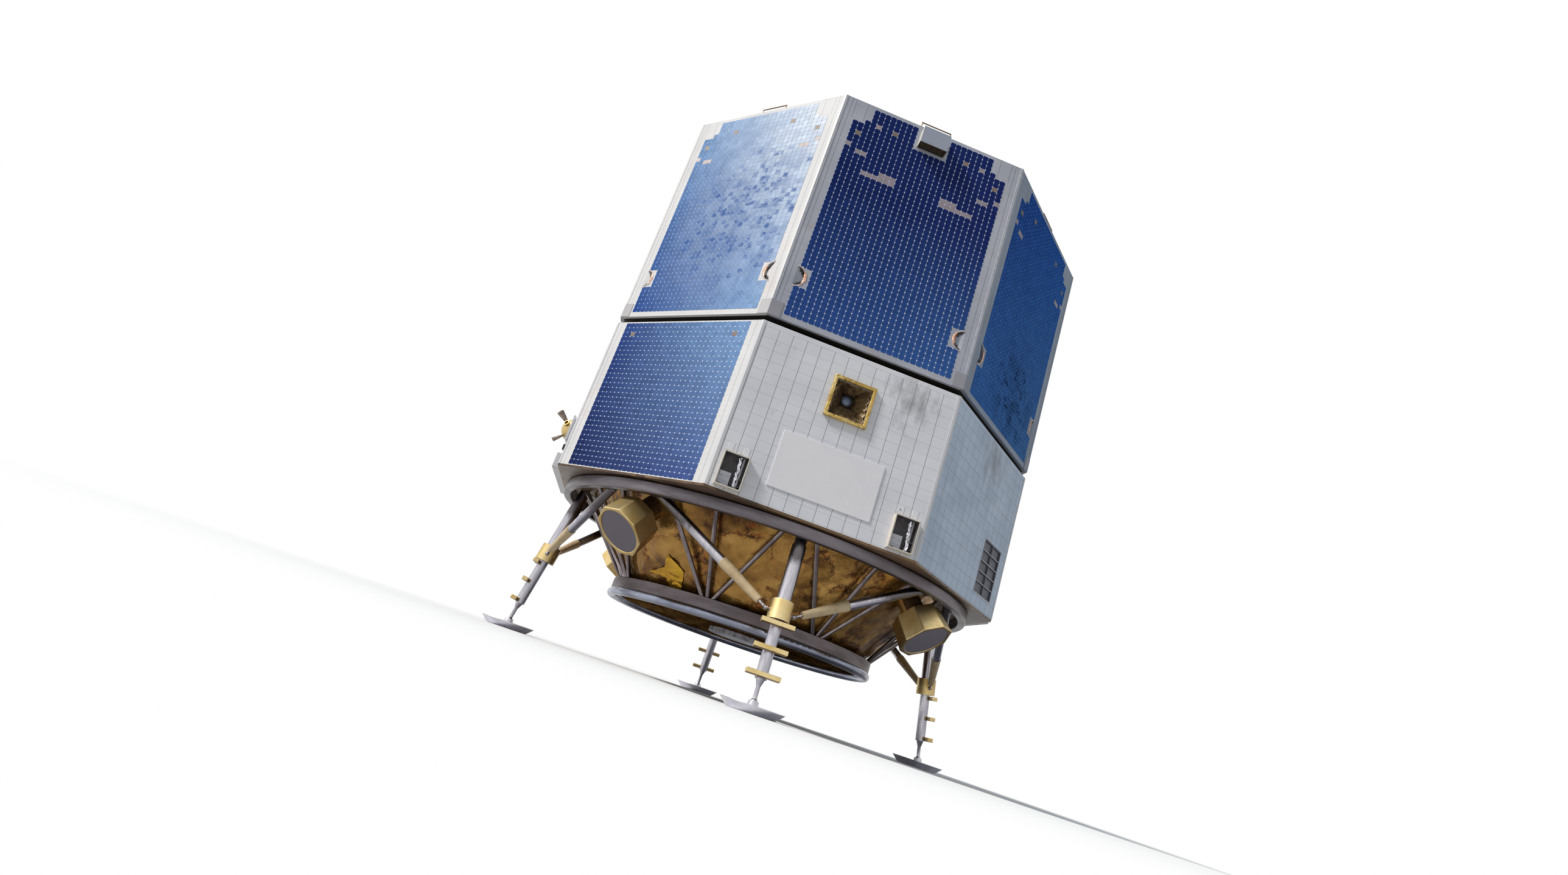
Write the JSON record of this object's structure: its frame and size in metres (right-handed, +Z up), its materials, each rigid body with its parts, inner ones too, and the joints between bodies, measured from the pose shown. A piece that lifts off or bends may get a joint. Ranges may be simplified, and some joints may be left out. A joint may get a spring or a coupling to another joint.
{
  "type": "lunar lander",
  "caption": "Octagonal lunar lander with solar-panelled upper body, tiled lower body, foil-wrapped underside, sprung-strut legs and dished footpads.",
  "frame": {"origin": "on the lander's vertical axis at floor level, midway between the four footpads", "axes": "+Z up, -Y the front face with the square window, +X to the right as seen from the front"},
  "size_m": [3.7532, 3.592, 4.11],
  "materials": {
    "white_panel_tiles": "satin white and pale grey thermal tiles with thin dark joints",
    "radiator_tiles": "satin blue-grey radiator tiles",
    "solar_panel": "dark blue solar cells under cover glass on a pale substrate",
    "white_trim": "satin white",
    "grey_cover": "satin grey",
    "cream_frame": "satin cream",
    "body_structure": "dark matt structure",
    "brown_foil": "brown crinkled thermal foil",
    "gold_foil": "gold crinkled thermal foil",
    "dark_foil": "dark brown folded foil",
    "lens_glass": "glossy blue-grey disc",
    "drum_metal": "smooth grey metal with a crinkled edge",
    "ring_steel": "rolled grey metal",
    "polished_tube": "polished aluminium tube",
    "gold_anodised": "pale gold anodised metal",
    "tan_sleeve": "tan wrapped sleeve",
    "dark_aperture": "dark grey",
    "nozzle_metal": "heat-darkened metal",
    "pad_metal": "light grey metal, darker below"
  },
  "bodies": {
    "lander": {"base_ring": "ring_steel", "blank_plate": "white_panel_tiles", "bottom_drum": "drum_metal", "bottom_plate": "brown_foil", "canister_apertures": "dark_aperture", "canisters": "gold_anodised", "equipment_boxes": "cream_frame", "equipment_fittings": "polished_tube", "foil_cone": "gold_foil", "foil_deck": "brown_foil", "hand_rail_bars": "polished_tube", "hand_rail_posts": "polished_tube", "leg_collars": "gold_anodised", "leg_crossbars": "gold_anodised", "leg_strut_back": "polished_tube", "leg_strut_front": "polished_tube", "leg_strut_left": "polished_tube", "leg_strut_right": "polished_tube", "lower_band": "ring_steel", "lower_core": "body_structure", "lower_corner_trims": "white_trim", "lower_front_panel": "white_panel_tiles", "lower_radiator_panels": "radiator_tiles", "lower_side_panels": "white_panel_tiles", "lower_solar_panels": "solar_panel", "neck": "body_structure", "radiator_grille": "dark_aperture", "rim_tube": "ring_steel", "ring_brackets": "ring_steel", "sensor_boxes": "grey_cover", "sensor_louvres": "dark_aperture", "side_blocks": "dark_aperture", "side_pallets": "white_trim", "side_strut_sleeves": "tan_sleeve", "side_struts": "polished_tube", "thruster_nozzles": "nozzle_metal", "thruster_pods": "gold_anodised", "top_deck": "body_structure", "truss": "polished_tube", "upper_core": "body_structure", "upper_corner_covers": "grey_cover", "upper_corner_trims": "white_trim", "upper_panel_back": "solar_panel", "upper_panel_back_left": "solar_panel", "upper_panel_back_right": "solar_panel", "upper_panel_front": "solar_panel", "upper_panel_front_left": "solar_panel", "upper_panel_front_right": "solar_panel", "upper_panel_left": "solar_panel", "upper_panel_right": "solar_panel", "window_frame": "gold_foil", "window_funnel": "dark_foil", "window_lens": "lens_glass"},
    "pad_front": {"footpad_front": "pad_metal"},
    "pad_right": {"footpad_right": "pad_metal"},
    "pad_back": {"footpad_back": "pad_metal"},
    "pad_left": {"footpad_left": "pad_metal"}
  },
  "joints": [
    {"name": "ankle_front", "type": "hinge", "parent": "lander", "child": "pad_front", "pos_m": [0, -1.606, 0.062], "axis": [1, 0, 0], "range_deg": [-12, 12]},
    {"name": "ankle_right", "type": "hinge", "parent": "lander", "child": "pad_right", "pos_m": [1.606, 0, 0.062], "axis": [0, 1, 0], "range_deg": [-12, 12]},
    {"name": "ankle_back", "type": "hinge", "parent": "lander", "child": "pad_back", "pos_m": [0, 1.606, 0.062], "axis": [1, 0, 0], "range_deg": [-12, 12]},
    {"name": "ankle_left", "type": "hinge", "parent": "lander", "child": "pad_left", "pos_m": [-1.606, 0, 0.062], "axis": [0, 1, 0], "range_deg": [-12, 12]}
  ]
}
